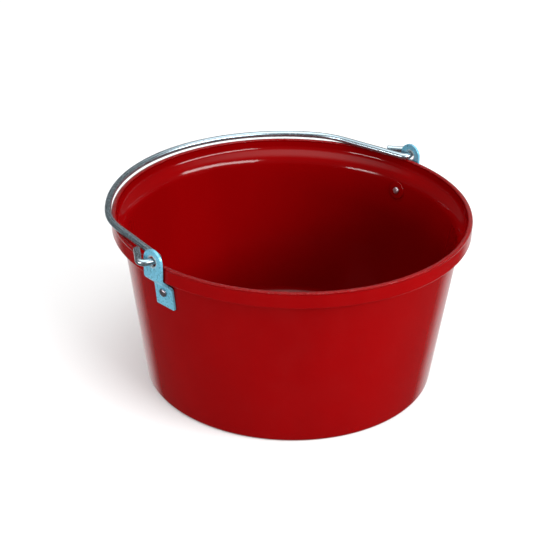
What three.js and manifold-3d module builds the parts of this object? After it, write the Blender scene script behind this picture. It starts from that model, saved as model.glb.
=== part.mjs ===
// A round moulded feed bucket with a wire bail, in millimetres, +Z up.
// The origin is the centre of the flat base. The bail's hinge axis runs along X, and at rest the
// bail lies folded on the rim, towards +Y.

import * as THREE from "three";
import { mergeVertices } from "three/addons/utils/BufferGeometryUtils.js";
import Module from "manifold-3d";

const wasm = await Module();
wasm.setup();

// ---- Driving dimensions ----

const CLEARANCE = 0.3; // left between pieces that touch on the real object

// Bucket shell
const HEIGHT = 190;
const RIM_RADIUS = 189.5;
const RIM_BAND_HEIGHT = 17.2; // the thicker band under the lip
const LIP_THICKNESS = 5.5;
const LIP_ROUNDING = 2.4;
const BAND_CORNER_ROUNDING = 2.5;
const WALL_TOP_RADIUS = 179; // outside, where the wall meets the band
const BASE_RADIUS = 156.3; // outside, at the floor
const WALL_THICKNESS = 4.3;
const FLOOR_THICKNESS = 5;
const BASE_ROUNDING = 4;
const INNER_BASE_ROUNDING = 9;
const SHOULDER_TOP = 180; // heights of the sloping step inside the band
const SHOULDER_BOTTOM = 169.5;
const SHOULDER_TOP_ROUNDING = 3.5;
const SHOULDER_BOTTOM_ROUNDING = 7;
const SHELL_SIDES = 72;

// Ear brackets: a flat strip riveted to the wall, stepped out round the band, and up past the lip
const EAR_WIDTH = 25.6;
const EAR_THICKNESS = 2.8;
const EAR_BOTTOM = 138.4;
const EAR_STEP_BOTTOM = 163.4;
const EAR_STEP_RISE = 11.9;
const EAR_TAB_X = 191; // inner face of the upright tab
const EAR_HOLE_RADIUS = 5.5;
const EAR_BEND_ROUNDING = 2;

// Rivets and their washers
const RIVET_Z = 155.6;
const SHANK_RADIUS = 2.5;
const HEAD_RADIUS = 4.6;
const HEAD_HEIGHT = 2.3;
const TAIL_RADIUS = 3.9;
const TAIL_HEIGHT = 1.9;
const WASHER_RADIUS = 10;
const WASHER_THICKNESS = 1.2;
const WASHER_GAP = 0.6; // a flat washer on a hollow wall touches it only at its edge
const ROUND_SIDES = 32;

// Bail: one planar length of wire
const WIRE_RADIUS = 3.5;
const WIRE_SIDES = 12;
const HINGE_Z = HEIGHT + WIRE_RADIUS + CLEARANCE;
const BAIL_REACH = 192.5; // from the hinge axis to the middle of the bail
const BAIL_CROWN_RADIUS = 192.5;
const BAIL_CROWN_TURN = 53; // degrees on each side of the middle
const BAIL_SHOULDER_RADIUS = 85;
const BAIL_LEG_LEAN = 9.8; // degrees between a straight leg and the Y axis
const HOOK_INNER_BEND_RADIUS = 7;
const HOOK_EXIT_LEAN = 18; // degrees between the wire in the hole and the hinge axis
const HOOK_EXIT_LENGTH = 7;
const HOOK_OUTER_BEND_RADIUS = 6;
const HOOK_RETURN_HEADING = 126; // degrees from +X, back towards the leg
const HOOK_RETURN_LENGTH = 23.5;

// ---- Values worked out from them ----

const BAND_BOTTOM = HEIGHT - RIM_BAND_HEIGHT;
const WALL_SLOPE = (WALL_TOP_RADIUS - BASE_RADIUS) / BAND_BOTTOM;
const WALL_LEAN = Math.atan(WALL_SLOPE);
const wallRadius = (z) => BASE_RADIUS + WALL_SLOPE * z;
const innerRadius = (z) => wallRadius(z) - WALL_THICKNESS / Math.cos(WALL_LEAN);
const degrees = THREE.MathUtils.degToRad;

// ---- Materials ----

const redPlastic = new THREE.MeshStandardMaterial({ color: 0xa00508, roughness: 0.25, metalness: 0 });
const zincSteel = new THREE.MeshStandardMaterial({ color: 0x9fb6c4, roughness: 0.35, metalness: 1 });
const rivetSteel = new THREE.MeshStandardMaterial({ color: 0xb8b4b6, roughness: 0.3, metalness: 1 });

// ---- Solids and booleans ----

function toSolid(geometry) {
  const bare = geometry.clone();
  bare.deleteAttribute("normal");
  bare.deleteAttribute("uv");
  const merged = mergeVertices(bare, 1e-4);
  return new wasm.Manifold(
    new wasm.Mesh({
      numProp: 3,
      vertProperties: merged.attributes.position.array,
      triVerts: new Uint32Array(merged.index.array),
    }),
  );
}

function toGeometry(solid) {
  const { vertProperties, triVerts } = solid.getMesh();
  const geometry = new THREE.BufferGeometry();
  geometry.setAttribute("position", new THREE.BufferAttribute(vertProperties, 3));
  geometry.setIndex(new THREE.BufferAttribute(triVerts, 1));
  geometry.computeVertexNormals();
  return geometry;
}

// Points of an outline from its corners [x, y, cut]: a cut above 0 rounds that corner off.
function roundedOutline(corners, steps) {
  const points = corners.map(([x, y]) => new THREE.Vector2(x, y));
  const towards = (from, to, length) => from.clone().add(to.clone().sub(from).setLength(length));
  return corners.flatMap(([, , cut], i) => {
    if (!cut) return [points[i]];
    const start = towards(points[i], points.at(i - 1), cut);
    const end = towards(points[i], points[(i + 1) % points.length], cut);
    return new THREE.QuadraticBezierCurve(start, points[i], end).getPoints(steps);
  });
}

// A solid of revolution about +X, from points (radius, place along X).
function turnedAboutX(points) {
  return new THREE.LatheGeometry(points, ROUND_SIDES).rotateZ(-Math.PI / 2);
}

// The place on the outside of the wall where a rivet sits, with +X along the wall's outward normal.
function rivetFrame() {
  const frame = new THREE.Group();
  frame.position.set(wallRadius(RIVET_Z), 0, RIVET_Z);
  frame.rotation.y = WALL_LEAN;
  return frame;
}

// A cylinder that cuts one rivet's clearance hole.
function rivetHoleCutter() {
  const frame = rivetFrame();
  frame.updateMatrix();
  const radius = SHANK_RADIUS + CLEARANCE;
  const cutter = new THREE.CylinderGeometry(radius, radius, 40, ROUND_SIDES).rotateZ(-Math.PI / 2);
  return cutter.applyMatrix4(frame.matrix);
}

// ---- Bucket shell ----

function shellProfile() {
  const lipInside = RIM_RADIUS - LIP_THICKNESS;
  const corners = [
    [0, 0, 0],
    [BASE_RADIUS, 0, BASE_ROUNDING],
    [WALL_TOP_RADIUS, BAND_BOTTOM, 1],
    [RIM_RADIUS, BAND_BOTTOM, BAND_CORNER_ROUNDING],
    [RIM_RADIUS, HEIGHT, LIP_ROUNDING],
    [lipInside, HEIGHT, LIP_ROUNDING],
    [lipInside, SHOULDER_TOP, SHOULDER_TOP_ROUNDING],
    [innerRadius(SHOULDER_BOTTOM), SHOULDER_BOTTOM, SHOULDER_BOTTOM_ROUNDING],
    [innerRadius(FLOOR_THICKNESS), FLOOR_THICKNESS, INNER_BASE_ROUNDING],
    [0, FLOOR_THICKNESS, 0],
  ];
  return roundedOutline(corners, 4);
}

function makeShell() {
  const body = toSolid(new THREE.LatheGeometry(shellProfile(), SHELL_SIDES).rotateX(Math.PI / 2));
  const hole = toSolid(rivetHoleCutter());
  const oppositeHole = toSolid(rivetHoleCutter().rotateZ(Math.PI));
  return toGeometry(body.subtract(hole).subtract(oppositeHole));
}

// ---- Ear bracket, on the +X side ----

// Section of the bent strip in the XZ plane: the face next to the bucket, then the outer face.
function earSection() {
  const stepTop = EAR_STEP_BOTTOM + EAR_STEP_RISE;
  const earTop = HINGE_Z + EAR_WIDTH;
  const inner = [
    new THREE.Vector2(wallRadius(EAR_BOTTOM) + CLEARANCE, EAR_BOTTOM),
    new THREE.Vector2(wallRadius(EAR_STEP_BOTTOM) + CLEARANCE, EAR_STEP_BOTTOM),
    new THREE.Vector2(EAR_TAB_X, stepTop),
    new THREE.Vector2(EAR_TAB_X, earTop),
  ];
  const normals = inner.slice(1).map((point, i) => {
    const along = point.clone().sub(inner[i]).normalize();
    return new THREE.Vector2(along.y, -along.x);
  });
  const outer = inner.map((point, i) => {
    const before = normals[Math.max(i - 1, 0)];
    const after = normals[Math.min(i, normals.length - 1)];
    const mitre = before.clone().add(after).divideScalar(1 + before.dot(after));
    return point.clone().addScaledVector(mitre, EAR_THICKNESS);
  });
  const bent = (points) => points.map((p, i) => [p.x, p.y, i === 1 || i === 2 ? EAR_BEND_ROUNDING : 0]);
  return roundedOutline([...bent(outer), ...bent(inner).reverse()], 4);
}

// Outline of the strip from the front: square at the foot, a half circle round the bail's hole.
function earFront() {
  const half = EAR_WIDTH / 2;
  const front = new THREE.Shape();
  front.moveTo(-half, 0);
  front.lineTo(half, 0);
  front.absarc(0, HINGE_Z, half, 0, Math.PI);
  front.closePath();
  const hole = new THREE.Path();
  hole.absarc(0, HINGE_Z, EAR_HOLE_RADIUS, 0, 2 * Math.PI);
  front.holes.push(hole);
  return front;
}

function makeEar() {
  const depth = 2 * EAR_WIDTH;
  const strip = new THREE.ExtrudeGeometry(new THREE.Shape(earSection()), { depth, bevelEnabled: false });
  strip.translate(0, 0, -depth / 2).rotateX(Math.PI / 2);
  const front = new THREE.ExtrudeGeometry(earFront(), {
    depth: 2 * RIM_RADIUS,
    bevelEnabled: false,
    curveSegments: ROUND_SIDES / 2,
  });
  front.applyMatrix4(new THREE.Matrix4().set(0, 0, 1, 0, 1, 0, 0, 0, 0, 1, 0, 0, 0, 0, 0, 1));
  return toGeometry(toSolid(strip).intersect(toSolid(front)).subtract(toSolid(rivetHoleCutter())));
}

// ---- Rivet and washer, in the rivet's frame ----

function makeRivet() {
  const tabFace = 2 * CLEARANCE + EAR_THICKNESS;
  const washerBack = -WALL_THICKNESS - WASHER_GAP - WASHER_THICKNESS - CLEARANCE;
  const corners = [
    [0, washerBack - TAIL_HEIGHT, 0],
    [TAIL_RADIUS, washerBack - TAIL_HEIGHT, 1.4],
    [TAIL_RADIUS, washerBack, 0],
    [SHANK_RADIUS, washerBack, 0],
    [SHANK_RADIUS, tabFace, 0],
    [HEAD_RADIUS, tabFace, 0],
    [HEAD_RADIUS, tabFace + HEAD_HEIGHT, 1.8],
    [0, tabFace + HEAD_HEIGHT, 0],
  ];
  return turnedAboutX(roundedOutline(corners, 3));
}

function makeWasher() {
  const front = -WALL_THICKNESS - WASHER_GAP;
  const bore = SHANK_RADIUS + CLEARANCE;
  const corners = [
    [bore, front - WASHER_THICKNESS],
    [WASHER_RADIUS, front - WASHER_THICKNESS],
    [WASHER_RADIUS, front],
    [bore, front],
    [bore, front - WASHER_THICKNESS],
  ];
  return turnedAboutX(corners.map(([radius, along]) => new THREE.Vector2(radius, along)));
}

// ---- Bail ----

// A route drawn by headings: each stretch is straight, or turns left or right on a radius.
class Route {
  constructor(x, y, heading) {
    this.position = new THREE.Vector2(x, y);
    this.heading = degrees(heading);
    this.stations = [];
    this.mark();
  }

  mark() {
    this.stations.push({ at: this.position.clone(), heading: this.heading });
  }

  straight(length) {
    this.position.x += length * Math.cos(this.heading);
    this.position.y += length * Math.sin(this.heading);
    this.mark();
    return this;
  }

  turn(angle, radius, steps) {
    const step = degrees(angle) / steps;
    for (let i = 0; i < steps; i++) {
      const chord = 2 * radius * Math.sin(Math.abs(step) / 2);
      this.position.x += chord * Math.cos(this.heading + step / 2);
      this.position.y += chord * Math.sin(this.heading + step / 2);
      this.heading += step;
      this.mark();
    }
    return this;
  }
}

// Half of the bail, from the middle of the crown to the cut end of the +X hook.
function halfBail() {
  const legTurn = 90 - BAIL_LEG_LEAN;
  const route = new Route(0, BAIL_REACH, 0);
  route.turn(-BAIL_CROWN_TURN, BAIL_CROWN_RADIUS, 9);
  route.turn(BAIL_CROWN_TURN - legTurn, BAIL_SHOULDER_RADIUS, 5);
  const bendDrop = HOOK_INNER_BEND_RADIUS * (1 - Math.cos(degrees(legTurn)));
  route.straight((route.position.y - bendDrop) / Math.sin(degrees(legTurn)));
  route.turn(legTurn + HOOK_EXIT_LEAN, HOOK_INNER_BEND_RADIUS, 8);
  route.straight(HOOK_EXIT_LENGTH);
  route.turn(HOOK_RETURN_HEADING - HOOK_EXIT_LEAN, HOOK_OUTER_BEND_RADIUS, 9);
  route.straight(HOOK_RETURN_LENGTH);
  return route.stations;
}

// A curve through given stations, one for each step of an extrusion.
class StationCurve extends THREE.Curve {
  constructor(points, tangents) {
    super();
    this.points = points;
    this.tangents = tangents;
  }

  getPointAt(u) {
    return this.points[Math.round(u * (this.points.length - 1))].clone();
  }

  getTangentAt(u) {
    return this.tangents[Math.round(u * (this.points.length - 1))].clone();
  }
}

function makeBail() {
  const right = halfBail();
  const left = right
    .slice(1)
    .reverse()
    .map(({ at, heading }) => ({ at: new THREE.Vector2(-at.x, at.y), heading: -heading }));
  const stations = [...left, ...right];
  const curve = new StationCurve(
    stations.map(({ at }) => new THREE.Vector3(at.x, at.y, 0)),
    stations.map(({ heading }) => new THREE.Vector3(Math.cos(heading), Math.sin(heading), 0)),
  );
  const section = new THREE.Shape().absarc(0, 0, WIRE_RADIUS, 0, 2 * Math.PI);
  return new THREE.ExtrudeGeometry(section, {
    steps: stations.length - 1,
    curveSegments: WIRE_SIDES / 2,
    extrudePath: curve,
  });
}

// ---- Assembly ----

function piece(name, geometry, material) {
  const mesh = new THREE.Mesh(geometry, material);
  mesh.name = name;
  return mesh;
}

const group = new THREE.Group();
group.add(piece("bucket_shell", makeShell(), redPlastic));

for (const [side, turn] of [["right", 0], ["left", Math.PI]]) {
  const ear = new THREE.Group();
  ear.rotation.z = turn;
  ear.add(piece(`ear_bracket_${side}`, makeEar(), zincSteel));
  const fastener = rivetFrame();
  fastener.add(piece(`ear_rivet_${side}`, makeRivet(), rivetSteel));
  fastener.add(piece(`rivet_washer_${side}`, makeWasher(), redPlastic));
  ear.add(fastener);
  group.add(ear);
}

const bail = piece("bail", makeBail(), zincSteel);
bail.position.z = HINGE_Z;
group.add(bail);

export default group;
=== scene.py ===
"""The looks of a round moulded feed bucket with a wire bail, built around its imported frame.

Metres, +Z up, in the frame's own coordinates: the bucket stands on its origin, and its two ears
are on the X axis. Outer sizes and places come from the frame's boxes. The sections of the wall,
the ears and the wire repeat the design's driving dimensions.
"""

import math

import bmesh
import bpy
from mathutils import Matrix, Vector


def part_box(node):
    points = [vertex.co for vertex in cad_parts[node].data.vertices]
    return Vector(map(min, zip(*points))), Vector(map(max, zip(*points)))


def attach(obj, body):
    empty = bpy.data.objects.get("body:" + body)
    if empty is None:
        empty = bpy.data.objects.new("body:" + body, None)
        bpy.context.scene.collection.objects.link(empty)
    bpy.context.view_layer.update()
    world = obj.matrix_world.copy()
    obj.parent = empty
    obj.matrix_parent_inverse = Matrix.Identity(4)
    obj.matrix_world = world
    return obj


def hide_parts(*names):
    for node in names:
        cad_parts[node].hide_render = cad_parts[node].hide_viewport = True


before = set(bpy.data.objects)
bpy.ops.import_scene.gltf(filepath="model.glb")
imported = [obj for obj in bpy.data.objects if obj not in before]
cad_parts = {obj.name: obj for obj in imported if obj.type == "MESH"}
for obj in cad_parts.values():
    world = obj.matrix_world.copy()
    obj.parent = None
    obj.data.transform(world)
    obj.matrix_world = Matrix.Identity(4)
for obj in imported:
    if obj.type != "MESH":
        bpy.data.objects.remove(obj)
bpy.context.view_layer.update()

# ---- Sizes read from the frame ----

SHELL_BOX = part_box("bucket_shell")
EAR_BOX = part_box("ear_bracket_right")
WASHER_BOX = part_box("rivet_washer_right")
BAIL_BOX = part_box("bail")

HEIGHT = SHELL_BOX[1].z
RIM_RADIUS = SHELL_BOX[1].x
EAR_WIDTH = EAR_BOX[1].y - EAR_BOX[0].y
EAR_FACE_X = EAR_BOX[1].x  # outer face of the upright tab
EAR_TOP = EAR_BOX[1].z
WIRE_RADIUS = (BAIL_BOX[1].z - BAIL_BOX[0].z) / 2
HINGE_Z = (BAIL_BOX[1].z + BAIL_BOX[0].z) / 2
BAIL_REACH = BAIL_BOX[1].y - WIRE_RADIUS

# ---- Sections of the pieces, in metres ----

BAND_BOTTOM = 0.1728  # the thicker band under the lip starts here
BAND_ROOT_ROUNDING = 0.001  # in the corner between the wall and the band
BAND_CORNER_ROUNDING = 0.0025
LIP_THICKNESS = 0.0055
LIP_ROUNDING = 0.0024
WALL_TOP_RADIUS = 0.179
BASE_RADIUS = 0.1563
BASE_ROUNDING = 0.004
INNER_BASE_ROUNDING = 0.009
WALL_THICKNESS = 0.0043
FLOOR_THICKNESS = 0.005
SHOULDER_TOP = 0.18  # heights of the sloping step inside the band
SHOULDER_BOTTOM = 0.1695
SHOULDER_TOP_ROUNDING = 0.0035
SHOULDER_BOTTOM_ROUNDING = 0.007
WALL_SLOPE = (WALL_TOP_RADIUS - BASE_RADIUS) / BAND_BOTTOM
WALL_LEAN = math.atan(WALL_SLOPE)

CLEARANCE = 0.0003  # left between pieces that touch on the real object
EAR_THICKNESS = 0.0028
EAR_FOOT = 0.1384
EAR_FOOT_CUT = 0.0008  # cut off each corner of the foot
EAR_STEP_BOTTOM = 0.1634
EAR_STEP_TOP = 0.1753
EAR_BEND_CUT = 0.002
EAR_HOLE_RADIUS = 0.0055
EAR_EDGE_ROUNDING = 0.0004

SHANK_RADIUS = 0.0025
HEAD_RADIUS = 0.0046
HEAD_HEIGHT = 0.0023
HEAD_CROWN_ROUNDING = 0.0021
HEAD_EDGE_ROUNDING = 0.0003
TAIL_RADIUS = 0.0039
TAIL_HEIGHT = 0.0019
TAIL_CROWN_ROUNDING = 0.0017
TAIL_EDGE_ROUNDING = 0.0002
WASHER_RADIUS = 0.01
WASHER_THICKNESS = 0.0012
WASHER_GAP = 0.0006
WASHER_RIM_ROUNDING = 0.0009  # round the face that is seen inside the bucket
WASHER_EDGE_ROUNDING = 0.0002
RIVET_CUTTER_LENGTH = 0.04

BAIL_CROWN_RADIUS = 0.1925
BAIL_CROWN_TURN = 53  # degrees on each side of the middle
BAIL_SHOULDER_RADIUS = 0.085
BAIL_LEG_LEAN = 9.8  # degrees
HOOK_INNER_BEND_RADIUS = 0.007
HOOK_EXIT_LEAN = 18  # degrees between the wire in the hole and the hinge axis
HOOK_EXIT_LENGTH = 0.007
HOOK_OUTER_BEND_RADIUS = 0.006
HOOK_RETURN_HEADING = 126  # degrees from +X, back towards the leg
HOOK_RETURN_LENGTH = 0.0235
WIRE_END_CHAMFER = 0.0006

# ---- Fineness of the round meshes ----

SHELL_SIDES = 240
CUTTER_SIDES = 48
EAR_TOP_SIDES = 48  # in half a circle
EAR_HOLE_SIDES = 56
EAR_RIVET_HOLE_SIDES = 32
RIVET_SIDES = 64
WASHER_SIDES = 72
WIRE_SIDES = 32
SHELL_LONGEST_STEP = 0.012
RIVET_LONGEST_STEP = 0.001
HOOK_LONGEST_STEP = 0.002

# ---- The camera, and directions round the bucket as seen from it ----

CAMERA_AZIMUTH = 224.28  # degrees from +X, anticlockwise from above
CAMERA_RISE = 28.1
CAMERA_ROLL = 1.24
CAMERA_DISTANCE = 1.5476
CAMERA_LENS = 92.61  # mm
CAMERA_SENSOR = 36  # mm
AIM_OFFSET = Vector((-0.0064, 0.0130, 0.0083))  # from the middle of the shell's box

# ---- The studio ----

FLOOR_REACH = 30  # from the middle to each edge
SOFTBOX_DISTANCE = 1.7

UP = Vector((0, 0, 1))


def middle(box):
    return (box[0] + box[1]) / 2


def direction(turn, rise):
    """Unit vector from the bucket, turn degrees to the camera's right and rise above the floor."""
    azimuth = math.radians(CAMERA_AZIMUTH + turn)
    rise = math.radians(rise)
    level = math.cos(rise)
    return Vector((level * math.cos(azimuth), level * math.sin(azimuth), math.sin(rise)))


def facing(place, back, roll=0.0):
    """Matrix of an object at place whose own +Z points along back, as a camera's does."""
    right = UP.cross(back).normalized()
    turn = Matrix.Rotation(roll, 3, back)
    axes = Matrix((turn @ right, turn @ back.cross(right), back)).transposed()
    return Matrix.Translation(place) @ axes.to_4x4()


def add_camera():
    data = bpy.data.cameras.new("camera")
    data.sensor_width = CAMERA_SENSOR
    data.lens = CAMERA_LENS
    camera = bpy.data.objects.new("camera", data)
    back = direction(0, CAMERA_RISE)
    aim = middle(SHELL_BOX) + AIM_OFFSET
    camera.matrix_world = facing(aim + back * CAMERA_DISTANCE, back, math.radians(CAMERA_ROLL))
    bpy.context.collection.objects.link(camera)
    bpy.context.scene.camera = camera


# ---- Mesh helpers ----


def new_piece(name, mesh):
    piece = bpy.data.objects.new(name, mesh)
    bpy.context.collection.objects.link(piece)
    return piece


def mesh_from(bm, name):
    """Turns the finished bm into a mesh and frees it."""
    mesh = bpy.data.meshes.new(name)
    bm.to_mesh(mesh)
    bm.free()
    return mesh


def smooth(mesh, sharp_from=40):
    """Smooth shading everywhere except over edges that turn more than sharp_from degrees."""
    mesh.polygons.foreach_set("use_smooth", [True] * len(mesh.polygons))
    mesh.set_sharp_from_angle(angle=math.radians(sharp_from))


def rounding(start, corner, end, steps):
    """Points of a smooth curve from start to end that leaves and arrives along the lines to corner."""
    shares = [step / steps for step in range(steps + 1)]
    return [start.lerp(corner, t).lerp(corner.lerp(end, t), t) for t in shares]


def rounded(corners, steps=10):
    """Points of a closed outline from corners (x, y, cut): a cut above 0 rounds that corner off."""
    points = [Vector(corner[:2]) for corner in corners]
    outline = []
    for i, (_, _, cut) in enumerate(corners):
        corner = points[i]
        if cut:
            start = corner + (points[i - 1] - corner).normalized() * cut
            end = corner + (points[(i + 1) % len(points)] - corner).normalized() * cut
            outline += rounding(start, corner, end, steps)
        else:
            outline.append(corner)
    return outline


def subdivided(outline, longest):
    """The outline with its long stretches divided, so that no step is longer than longest."""
    points = [outline[0]]
    for start, end in zip(outline, outline[1:]):
        steps = math.ceil((end - start).length / longest)
        points += [start.lerp(end, step / steps) for step in range(1, steps + 1)]
    return points


def lengths_along(points):
    """The distance along a line of points, from its first point to each of them."""
    lengths = [0.0]
    for before, after in zip(points, points[1:]):
        lengths.append(lengths[-1] + (after - before).length)
    return lengths


def lathe(name, outline, sides, closed=False):
    """A mesh turned about Z from (radius, height) points.

    An outline that isn't closed starts and ends on the axis.
    """
    bm = bmesh.new()
    rings = []
    angles = [2 * math.pi * side / sides for side in range(sides)]
    for radius, height in outline:
        if radius < 1e-7:
            rings.append([bm.verts.new((0, 0, height))] * sides)
            continue
        ring = [(radius * math.cos(angle), radius * math.sin(angle), height) for angle in angles]
        rings.append([bm.verts.new(point) for point in ring])
    pairs = list(zip(rings, rings[1:]))
    if closed:
        pairs.append((rings[-1], rings[0]))
    for low, high in pairs:
        for side in range(sides):
            after = (side + 1) % sides
            corners = [low[side], low[after], high[after], high[side]]
            bm.faces.new(dict.fromkeys(corners))
    bmesh.ops.recalc_face_normals(bm, faces=bm.faces)
    return mesh_from(bm, name)


def rivet_place():
    """Matrix of the +X rivet's place on the wall's outside, its +Z outward along the rivet."""
    outward = Vector((math.cos(WALL_LEAN), 0, -math.sin(WALL_LEAN)))
    depth = WALL_THICKNESS + WASHER_GAP + WASHER_THICKNESS / 2
    place = middle(WASHER_BOX) + outward * depth
    return Matrix.Translation(place) @ Matrix.Rotation(math.pi / 2 + WALL_LEAN, 4, "Y")


def on_side(mesh, side):
    """Turns a piece made for the +X side round to its own side of the bucket."""
    if side == "left":
        mesh.transform(Matrix.Rotation(math.pi, 4, "Z"))
    return mesh


# ---- Bucket shell ----


def wall_radius(height):
    return BASE_RADIUS + WALL_SLOPE * height


def inner_radius(height):
    return wall_radius(height) - WALL_THICKNESS / math.cos(WALL_LEAN)


def shell_outline():
    lip_inside = RIM_RADIUS - LIP_THICKNESS
    corners = [
        (0, 0, 0),
        (BASE_RADIUS, 0, BASE_ROUNDING),
        (WALL_TOP_RADIUS, BAND_BOTTOM, BAND_ROOT_ROUNDING),
        (RIM_RADIUS, BAND_BOTTOM, BAND_CORNER_ROUNDING),
        (RIM_RADIUS, HEIGHT, LIP_ROUNDING),
        (lip_inside, HEIGHT, LIP_ROUNDING),
        (lip_inside, SHOULDER_TOP, SHOULDER_TOP_ROUNDING),
        (inner_radius(SHOULDER_BOTTOM), SHOULDER_BOTTOM, SHOULDER_BOTTOM_ROUNDING),
        (inner_radius(FLOOR_THICKNESS), FLOOR_THICKNESS, INNER_BASE_ROUNDING),
        (0, FLOOR_THICKNESS, 0),
    ]
    return subdivided(rounded(corners), SHELL_LONGEST_STEP)


def rivet_hole_cutter(side):
    bm = bmesh.new()
    radius = SHANK_RADIUS + CLEARANCE
    bmesh.ops.create_cone(bm, cap_ends=True, segments=CUTTER_SIDES, radius1=radius, radius2=radius,
                          depth=RIVET_CUTTER_LENGTH)
    bm.transform(rivet_place())
    return new_piece("cutter", on_side(mesh_from(bm, "cutter"), side))


def cut_holes(piece, cutters):
    """Cuts the cutters out of the piece for good, and removes them."""
    for cutter in cutters:
        hole = piece.modifiers.new("hole", "BOOLEAN")
        hole.operation = "DIFFERENCE"
        hole.solver = "EXACT"
        hole.object = cutter
    evaluated = piece.evaluated_get(bpy.context.evaluated_depsgraph_get())
    mesh = bpy.data.meshes.new_from_object(evaluated)
    piece.modifiers.clear()
    piece.data = mesh
    for cutter in cutters:
        bpy.data.objects.remove(cutter)


def make_shell():
    mesh = lathe("shell_moulding", shell_outline(), SHELL_SIDES)
    piece = new_piece("shell_moulding", mesh)
    cut_holes(piece, [rivet_hole_cutter(side) for side in ("right", "left")])
    smooth(piece.data)
    return piece


# ---- Ear brackets: one flat strip cut to shape, then bent ----


def ear_route():
    """Points of the middle of the strip's thickness in the XZ plane, from its foot to its top."""
    tab_x = EAR_FACE_X - EAR_THICKNESS
    inner = [
        Vector((wall_radius(EAR_FOOT) + CLEARANCE, EAR_FOOT)),
        Vector((wall_radius(EAR_STEP_BOTTOM) + CLEARANCE, EAR_STEP_BOTTOM)),
        Vector((tab_x, EAR_STEP_TOP)),
        Vector((tab_x, EAR_TOP)),
    ]
    along = [(after - before).normalized() for before, after in zip(inner, inner[1:])]
    outward = [Vector((way.y, -way.x)) for way in along]
    middles = []
    for i, point in enumerate(inner):
        before, after = outward[max(i - 1, 0)], outward[min(i, len(outward) - 1)]
        mitre = (before + after) / (1 + before.dot(after))
        middles.append(point + mitre * EAR_THICKNESS / 2)
    route = [middles[0]]
    for before, corner, after in zip(middles, middles[1:], middles[2:]):
        start = corner + (before - corner).normalized() * EAR_BEND_CUT
        end = corner + (after - corner).normalized() * EAR_BEND_CUT
        route += rounding(start, corner, end, 8)
    return [*route, middles[-1]]


def circle(radius, centre, sides, start=0.0, sweep=2 * math.pi):
    """Points across and along the flat strip, on an arc about a place on its middle line."""
    angles = [start + sweep * side / sides for side in range(sides)]
    return [(radius * math.cos(a), centre + radius * math.sin(a)) for a in angles]


def ear_loops(hole_at, rivet_at):
    """Outlines (across, along) of the flat strip and of its two holes."""
    half = EAR_WIDTH / 2
    outer = [(EAR_FOOT_CUT - half, 0), (half - EAR_FOOT_CUT, 0), (half, EAR_FOOT_CUT)]
    outer += circle(half, hole_at, EAR_TOP_SIDES, 0, math.pi)
    outer += [(-half, hole_at), (-half, EAR_FOOT_CUT)]
    wire_hole = circle(EAR_HOLE_RADIUS, hole_at, EAR_HOLE_SIDES)
    rivet_hole = circle(SHANK_RADIUS + CLEARANCE, rivet_at, EAR_RIVET_HOLE_SIDES)
    return [outer, wire_hole, rivet_hole]


def bend(bm, route, lengths):
    """Cuts the flat strip across where the route's points fall, and lays it along the route."""
    for length in lengths[1:-1]:
        everything = [*bm.verts, *bm.edges, *bm.faces]
        bmesh.ops.bisect_plane(bm, geom=everything, plane_co=(0, length, 0), plane_no=(0, 1, 0))
    for corner in bm.verts:
        across, along, _ = corner.co
        step = next(i for i in range(1, len(lengths)) if along <= lengths[i] + 1e-6)
        share = (along - lengths[step - 1]) / (lengths[step] - lengths[step - 1])
        at = route[step - 1].lerp(route[step], share)
        corner.co = (at.x, across, at.y)


def thicken(piece):
    """Gives the bent sheet its thickness and its slightly rounded edges."""
    thick = piece.modifiers.new("thickness", "SOLIDIFY")
    thick.thickness = EAR_THICKNESS
    thick.offset = 0
    thick.use_even_offset = True
    edge = piece.modifiers.new("edge", "BEVEL")
    edge.width = EAR_EDGE_ROUNDING
    edge.segments = 3
    edge.limit_method = "ANGLE"
    edge.angle_limit = math.radians(50)
    piece.modifiers.new("flats", "WEIGHTED_NORMAL")


def make_ear(side):
    route = ear_route()
    lengths = lengths_along(route)
    hole_at = lengths[-1] - EAR_WIDTH / 2
    rivet_at = (rivet_place().translation.z - EAR_FOOT) / math.cos(WALL_LEAN)

    bm = bmesh.new()
    for loop in ear_loops(hole_at, rivet_at):
        corners = [bm.verts.new((across, along, 0)) for across, along in loop]
        for corner, after in zip(corners, corners[1:] + corners[:1]):
            bm.edges.new((corner, after))
    bmesh.ops.triangle_fill(bm, use_beauty=True, edges=bm.edges)
    bend(bm, route, lengths)
    bmesh.ops.recalc_face_normals(bm, faces=bm.faces)

    name = f"ear_plate_{side}"
    mesh = on_side(mesh_from(bm, name), side)
    piece = new_piece(name, mesh)
    thicken(piece)
    mesh.polygons.foreach_set("use_smooth", [True] * len(mesh.polygons))
    return piece


# ---- Rivets and washers ----


def make_rivet(side):
    tab_face = 2 * CLEARANCE + EAR_THICKNESS
    washer_back = -WALL_THICKNESS - WASHER_GAP - WASHER_THICKNESS - CLEARANCE
    corners = [
        (0, washer_back - TAIL_HEIGHT, 0),
        (TAIL_RADIUS, washer_back - TAIL_HEIGHT, TAIL_CROWN_ROUNDING),
        (TAIL_RADIUS, washer_back, TAIL_EDGE_ROUNDING),
        (SHANK_RADIUS, washer_back, 0),
        (SHANK_RADIUS, tab_face, 0),
        (HEAD_RADIUS, tab_face, HEAD_EDGE_ROUNDING),
        (HEAD_RADIUS, tab_face + HEAD_HEIGHT, HEAD_CROWN_ROUNDING),
        (0, tab_face + HEAD_HEIGHT, 0),
    ]
    outline = subdivided(rounded(corners), RIVET_LONGEST_STEP)
    mesh = lathe(f"rivet_{side}", outline, RIVET_SIDES)
    mesh.transform(rivet_place())
    smooth(mesh)
    return new_piece(f"rivet_{side}", on_side(mesh, side))


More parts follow.
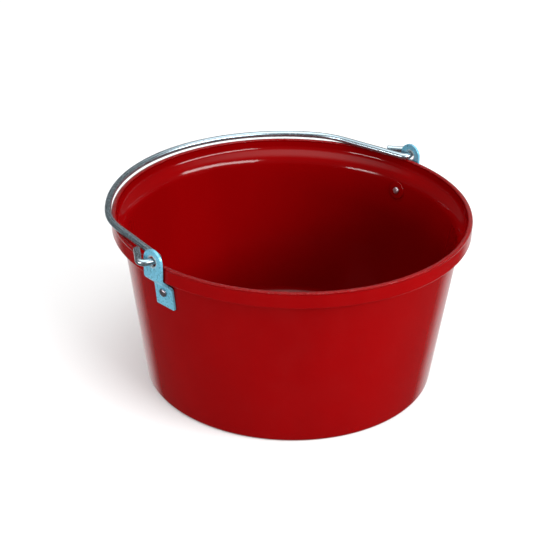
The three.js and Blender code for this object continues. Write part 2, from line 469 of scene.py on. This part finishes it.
def make_washer(side):
    front = -WALL_THICKNESS - WASHER_GAP
    back = front - WASHER_THICKNESS
    bore = SHANK_RADIUS + CLEARANCE
    corners = [
        (bore, back, WASHER_EDGE_ROUNDING),
        (WASHER_RADIUS, back, WASHER_RIM_ROUNDING),
        (WASHER_RADIUS, front, WASHER_EDGE_ROUNDING),
        (bore, front, WASHER_EDGE_ROUNDING),
    ]
    mesh = lathe(f"washer_{side}", rounded(corners), WASHER_SIDES, closed=True)
    mesh.transform(rivet_place())
    smooth(mesh)
    return new_piece(f"washer_{side}", on_side(mesh, side))


# ---- Bail ----


class Route:
    """A flat route drawn by headings: stations of (place, heading) along straights and turns."""

    def __init__(self, place, heading):
        self.place = Vector(place)
        self.heading = heading
        self.stations = [(self.place.copy(), self.heading)]

    def move(self, length, heading):
        self.place += length * Vector((math.cos(heading), math.sin(heading)))

    def straight(self, length, longest=0.006):
        steps = math.ceil(length / longest)
        for _ in range(steps):
            self.move(length / steps, self.heading)
            self.stations.append((self.place.copy(), self.heading))

    def turn(self, angle, radius, steps):
        step = math.radians(angle) / steps
        for _ in range(steps):
            self.move(2 * radius * math.sin(abs(step) / 2), self.heading + step / 2)
            self.heading += step
            self.stations.append((self.place.copy(), self.heading))


def half_bail():
    """Stations from the middle of the crown to the cut end of the +X hook."""
    leg_turn = 90 - BAIL_LEG_LEAN
    bend_drop = HOOK_INNER_BEND_RADIUS * (1 - math.cos(math.radians(leg_turn)))
    route = Route((0, BAIL_REACH), 0)
    route.turn(-BAIL_CROWN_TURN, BAIL_CROWN_RADIUS, 45)
    route.turn(BAIL_CROWN_TURN - leg_turn, BAIL_SHOULDER_RADIUS, 15)
    route.straight((route.place.y - bend_drop) / math.sin(math.radians(leg_turn)))
    route.turn(leg_turn + HOOK_EXIT_LEAN, HOOK_INNER_BEND_RADIUS, 24)
    route.straight(HOOK_EXIT_LENGTH, HOOK_LONGEST_STEP)
    route.turn(HOOK_RETURN_HEADING - HOOK_EXIT_LEAN, HOOK_OUTER_BEND_RADIUS, 27)
    route.straight(HOOK_RETURN_LENGTH, HOOK_LONGEST_STEP)
    return route.stations


def bail_stations():
    """Stations (place, heading, radius) of the whole wire, whose sheared ends are chamfered."""
    right = half_bail()
    left = [(Vector((-place.x, place.y)), -heading) for place, heading in reversed(right[1:])]
    stations = [(place, heading, WIRE_RADIUS) for place, heading in left + right]
    for end, outward in ((0, -1), (-1, 1)):
        place, heading, _ = stations[end]
        forward = outward * Vector((math.cos(heading), math.sin(heading)))
        shoulder = (place - forward * WIRE_END_CHAMFER, heading, WIRE_RADIUS)
        tip = (place, heading, WIRE_RADIUS - WIRE_END_CHAMFER)
        if end:
            stations[end:] = [shoulder, tip]
        else:
            stations[:1] = [tip, shoulder]
    return stations


def wire_ring(bm, place, heading, radius):
    """New corners in bm, round the wire at one station."""
    sideways = Vector((-math.sin(heading), math.cos(heading), 0))
    centre = place.to_3d() + HINGE_Z * UP
    ring = []
    for side in range(WIRE_SIDES):
        angle = 2 * math.pi * side / WIRE_SIDES
        away = math.cos(angle) * sideways + math.sin(angle) * UP
        ring.append(bm.verts.new(centre + radius * away))
    return ring


def make_bail():
    stations = bail_stations()
    lengths = lengths_along([place for place, _, _ in stations])
    bm = bmesh.new()
    uv_layer = bm.loops.layers.uv.new("along_wire")
    rings = [wire_ring(bm, *station) for station in stations]
    for i, (low, high) in enumerate(zip(rings, rings[1:])):
        for side in range(WIRE_SIDES):
            after = (side + 1) % WIRE_SIDES
            face = bm.faces.new((low[side], low[after], high[after], high[side]))
            around = [side, side + 1, side + 1, side]
            along = [lengths[i], lengths[i], lengths[i + 1], lengths[i + 1]]
            for loop, turn, length in zip(face.loops, around, along):
                loop[uv_layer].uv = (turn / WIRE_SIDES * 2 * math.pi * WIRE_RADIUS, length)
    bm.faces.new(rings[0])
    bm.faces.new(rings[-1])
    bmesh.ops.recalc_face_normals(bm, faces=bm.faces)
    mesh = mesh_from(bm, "bail_wire")
    smooth(mesh, sharp_from=35)
    return new_piece("bail_wire", mesh)


# ---- Node helpers ----


def add(tree, kind, inputs=(), **settings):
    """A node with these settings, whose named inputs are set to values or linked from outputs."""
    node = tree.nodes.new(kind)
    for name, value in settings.items():
        setattr(node, name, value)
    for name, value in dict(inputs).items():
        if isinstance(value, bpy.types.NodeSocket):
            tree.links.new(value, node.inputs[name])
        else:
            node.inputs[name].default_value = value
    return node


def stretched(tree, coordinates, scale):
    return add(tree, "ShaderNodeMapping", {"Vector": coordinates, "Scale": scale}).outputs["Vector"]


def noise(tree, coordinates, scale, detail=3.0, roughness=0.5):
    inputs = {"Vector": coordinates, "Scale": scale, "Detail": detail, "Roughness": roughness}
    return add(tree, "ShaderNodeTexNoise", inputs).outputs["Fac"]


def ramp(tree, value, start, end, low=0.0, high=1.0):
    """Value turned smoothly from low to high between start and end."""
    inputs = {"Value": value, "From Min": start, "From Max": end, "To Min": low, "To Max": high}
    return add(tree, "ShaderNodeMapRange", inputs, interpolation_type="SMOOTHSTEP").outputs["Result"]


def math_node(tree, operation, a, b):
    return add(tree, "ShaderNodeMath", {0: a, 1: b}, operation=operation).outputs[0]


def mix_colour(tree, share, a, b):
    return add(tree, "ShaderNodeMix", {0: share, 6: a, 7: b}, data_type="RGBA").outputs[2]


def bump(tree, height, strength, distance, under=None):
    inputs = {"Height": height, "Strength": strength, "Distance": distance}
    if under:
        inputs["Normal"] = under
    return add(tree, "ShaderNodeBump", inputs).outputs["Normal"]


def new_material(name):
    """A material with an empty tree, its output node, and the coordinates of the piece."""
    material = bpy.data.materials.new(name)
    material.use_nodes = True
    tree = material.node_tree
    tree.nodes.clear()
    return material, tree, add(tree, "ShaderNodeTexCoord").outputs


def finish_material(tree, **inputs):
    """Links a Principled shader with these inputs to the output; _ in a name stands for a space."""
    named = {name.replace("_", " "): value for name, value in inputs.items()}
    shader = add(tree, "ShaderNodeBsdfPrincipled", named)
    add(tree, "ShaderNodeOutputMaterial", {"Surface": shader.outputs[0]})


# ---- Materials ----


def red_plastic():
    """Glossy moulded plastic: faint flow mottling and specks, orange peel, a rough flash line."""
    material, tree, coordinates = new_material("red_plastic")
    here = coordinates["Object"]
    height = add(tree, "ShaderNodeSeparateXYZ", {"Vector": here}).outputs["Z"]

    flow = noise(tree, stretched(tree, here, (1, 1, 0.4)), 14, 4)
    grain = noise(tree, here, 900, 2)
    red = (0.19, 0.0003, 0.0008, 1)
    deep_red = (0.17, 0.0002, 0.0007, 1)
    speck_red = (0.2, 0.0006, 0.001, 1)
    colour = mix_colour(tree, ramp(tree, flow, 0.3, 0.75), red, deep_red)
    colour = mix_colour(tree, ramp(tree, grain, 0.62, 0.8, 0, 0.25), colour, speck_red)

    scuffs = noise(tree, stretched(tree, here, (30, 30, 260)), 1, 5, 0.65)
    haze = noise(tree, here, 38, 4)
    scuffed = ramp(tree, scuffs, 0.6, 0.8, 0, 0.05)
    gloss = math_node(tree, "ADD", scuffed, ramp(tree, haze, 0.35, 0.75, 0.08, 0.13))

    peel = noise(tree, here, 210, 2)
    swell = noise(tree, here, 45, 2)
    on_lip = ramp(tree, height, HEIGHT - 0.0025, HEIGHT - 0.0006)
    flash = math_node(tree, "MULTIPLY", noise(tree, here, 420, 3), on_lip)
    normal = bump(tree, swell, 0.2, 0.0008)
    normal = bump(tree, peel, 0.1, 0.00025, normal)
    normal = bump(tree, flash, 1.0, 0.002, normal)
    finish_material(tree, Base_Color=colour, Roughness=gloss, IOR=1.5, Specular_IOR_Level=0.2,
                    Normal=normal)
    return material


def zinc_plate():
    """Zinc sheet whose cyan-blue base colour is a painted reflection of a cyan surround: rolled grain,
    soft spangle, and a ring rubbed bright by the wire.
    """
    material, tree, coordinates = new_material("zinc_plate")
    here = coordinates["Object"]
    spangle = noise(tree, here, 330, 3)
    cloud = noise(tree, here, 95, 4)
    grain = noise(tree, stretched(tree, here, (1500, 1500, 90)), 1, 3)

    across = add(tree, "ShaderNodeSeparateXYZ", {"Vector": here}).outputs
    from_axis = math_node(tree, "SUBTRACT", across["Z"], HINGE_Z)
    squares = math_node(tree, "ADD", math_node(tree, "MULTIPLY", across["Y"], across["Y"]),
                        math_node(tree, "MULTIPLY", from_axis, from_axis))
    radius = math_node(tree, "POWER", squares, 0.5)
    worn = ramp(tree, radius, EAR_HOLE_RADIUS + 0.0022, EAR_HOLE_RADIUS + 0.0002)
    worn = math_node(tree, "MULTIPLY", worn, ramp(tree, cloud, 0.35, 0.6))

    # painted reflection: the strong cyan of these blues stands in for a cyan surround reflected in the
    # plate; the spangle and the rubbed ring are the sheet's own
    blue = (0.18, 0.50, 0.66, 1)
    deep_blue = (0.14, 0.43, 0.58, 1)
    spangle_blue = (0.12, 0.32, 0.42, 1)
    bare_metal = (0.55, 0.6, 0.62, 1)
    colour = mix_colour(tree, ramp(tree, cloud, 0.35, 0.7), blue, deep_blue)
    colour = mix_colour(tree, ramp(tree, spangle, 0.58, 0.75, 0, 0.5), colour, spangle_blue)
    colour = mix_colour(tree, worn, colour, bare_metal)
    polish = math_node(tree, "MULTIPLY", worn, -0.08)
    gloss = math_node(tree, "ADD", ramp(tree, spangle, 0.35, 0.7, 0.26, 0.38), polish)
    normal = bump(tree, grain, 0.12, 0.0001)
    normal = bump(tree, cloud, 0.15, 0.0002, normal)
    finish_material(tree, Base_Color=colour, Roughness=gloss, Metallic=0.4, Normal=normal)
    return material


def zinc_wire():
    """Drawn zinc-plated wire: fine lines along its length and a few dull spots."""
    material, tree, coordinates = new_material("zinc_wire")
    along = stretched(tree, coordinates["UV"], (2600, 45, 1))
    lines = noise(tree, along, 1, 4, 0.6)
    spots = noise(tree, coordinates["Object"], 260, 4)
    cloud = noise(tree, coordinates["Object"], 22, 3)
    pale_zinc = (0.40, 0.50, 0.55, 1)
    dark_zinc = (0.32, 0.41, 0.46, 1)
    spot_grey = (0.2, 0.17, 0.2, 1)
    colour = mix_colour(tree, ramp(tree, cloud, 0.3, 0.7), pale_zinc, dark_zinc)
    colour = mix_colour(tree, ramp(tree, spots, 0.6, 0.78, 0, 0.6), colour, spot_grey)
    dulled = ramp(tree, spots, 0.55, 0.8, 0, 0.2)
    gloss = math_node(tree, "ADD", ramp(tree, lines, 0.3, 0.7, 0.20, 0.32), dulled)
    normal = bump(tree, lines, 0.1, 0.0001)
    normal = bump(tree, spots, 0.12, 0.0002, normal)
    finish_material(tree, Base_Color=colour, Roughness=gloss, Metallic=0.92, Normal=normal)
    return material


def rivet_steel():
    """Cold-headed steel: a dull skin in lighter and darker patches, with hammer marks."""
    material, tree, coordinates = new_material("rivet_steel")
    here = coordinates["Object"]
    marks = noise(tree, here, 620, 3)
    skin = noise(tree, here, 240, 4)
    light_steel = (0.55, 0.47, 0.50, 1)
    dark_steel = (0.3, 0.24, 0.27, 1)
    colour = mix_colour(tree, ramp(tree, skin, 0.35, 0.7), light_steel, dark_steel)
    gloss = ramp(tree, skin, 0.3, 0.7, 0.3, 0.45)
    normal = bump(tree, marks, 0.25, 0.0003)
    finish_material(tree, Base_Color=colour, Roughness=gloss, Metallic=1.0, Normal=normal)
    return material


def pale_floor():
    material, tree, _ = new_material("pale_floor")
    white = (0.74, 0.74, 0.74, 1)
    finish_material(tree, Base_Color=white, Roughness=0.9, Emission_Color=white, Emission_Strength=0.12)
    return material


# ---- Studio ----


def add_floor():
    bm = bmesh.new()
    bmesh.ops.create_grid(bm, x_segments=1, y_segments=1, size=FLOOR_REACH)
    mesh = mesh_from(bm, "floor")
    mesh.materials.append(pale_floor())
    floor = new_piece("floor", mesh)
    floor.location.z = SHELL_BOX[0].z
    floor.visible_glossy = False


def add_softbox(name, turn, rise, width, height, power, glossy=True):
    data = bpy.data.lights.new(name, "AREA")
    data.shape = "RECTANGLE"
    data.size = width
    data.size_y = height
    data.energy = power
    light = bpy.data.objects.new(name, data)
    back = direction(turn, rise)
    light.matrix_world = facing(middle(SHELL_BOX) + back * SOFTBOX_DISTANCE, back)
    light.visible_camera = False
    light.visible_glossy = glossy
    bpy.context.collection.objects.link(light)


def glow(tree, view, turn, rise, full, gone, colour):
    """Light from the world round one direction: full within one angle and gone at another."""
    inputs = {0: view, 1: direction(turn, rise)}
    near = add(tree, "ShaderNodeVectorMath", inputs, operation="DOT_PRODUCT").outputs["Value"]
    share = ramp(tree, near, math.cos(math.radians(gone)), math.cos(math.radians(full)))
    return add(tree, "ShaderNodeVectorMath", {0: colour, "Scale": share}, operation="SCALE").outputs[0]


def add_world():
    """White to the camera, bright overhead, with a grey patch low behind for the reflections."""
    world = bpy.data.worlds.new("studio")
    world.use_nodes = True
    tree = world.node_tree
    tree.nodes.clear()
    view = add(tree, "ShaderNodeTexCoord").outputs["Generated"]
    height = add(tree, "ShaderNodeSeparateXYZ", {"Vector": view}).outputs["Z"]
    grey = (0.75, 0.75, 0.75)
    above = ramp(tree, height, 0.6, 1.0, low=0.1, high=2.9)
    behind = glow(tree, view, turn=180, rise=-30, full=26, gone=42, colour=grey)
    total = add(tree, "ShaderNodeVectorMath", {0: above, 1: behind}, operation="ADD").outputs[0]
    lit = add(tree, "ShaderNodeBackground", {"Color": total, "Strength": 1.0}).outputs[0]
    pale = add(tree, "ShaderNodeBackground", {"Color": (1, 1, 1, 1), "Strength": 1.0}).outputs[0]
    seen = add(tree, "ShaderNodeLightPath").outputs["Is Camera Ray"]
    surface = add(tree, "ShaderNodeMixShader", {0: seen, 1: lit, 2: pale}).outputs[0]
    add(tree, "ShaderNodeOutputWorld", {"Surface": surface})
    world.cycles.sampling_method = "NONE"
    bpy.context.scene.world = world


def add_studio():
    add_floor()
    add_world()
    add_softbox("key", turn=57, rise=28, width=1.8, height=0.38, power=46)
    add_softbox("fill", turn=-52, rise=10, width=0.7, height=0.26, power=14)
    add_softbox("side", turn=-98, rise=16, width=1.2, height=0.7, power=3, glossy=False)
    bpy.context.scene.view_settings.view_transform = "Standard"


# ---- Assembly ----


def place(piece, material, body, node, slot):
    """Finishes a piece, which moves with a body and stands for a CAD node."""
    piece.data.materials.clear()
    piece.data.materials.append(material)
    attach(piece, body)
    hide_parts(node)


def build():
    plastic, plate, wire, steel = red_plastic(), zinc_plate(), zinc_wire(), rivet_steel()
    place(make_shell(), plastic, "bucket", "bucket_shell", "red_plastic")
    for side in ("right", "left"):
        place(make_ear(side), plate, "bucket", f"ear_bracket_{side}", "zinc_plate")
        place(make_rivet(side), steel, "bucket", f"ear_rivet_{side}", "rivet_steel")
        place(make_washer(side), plastic, "bucket", f"rivet_washer_{side}", "red_plastic")
    place(make_bail(), wire, "handle", "bail", "zinc_wire")


build()
add_studio()
add_camera()
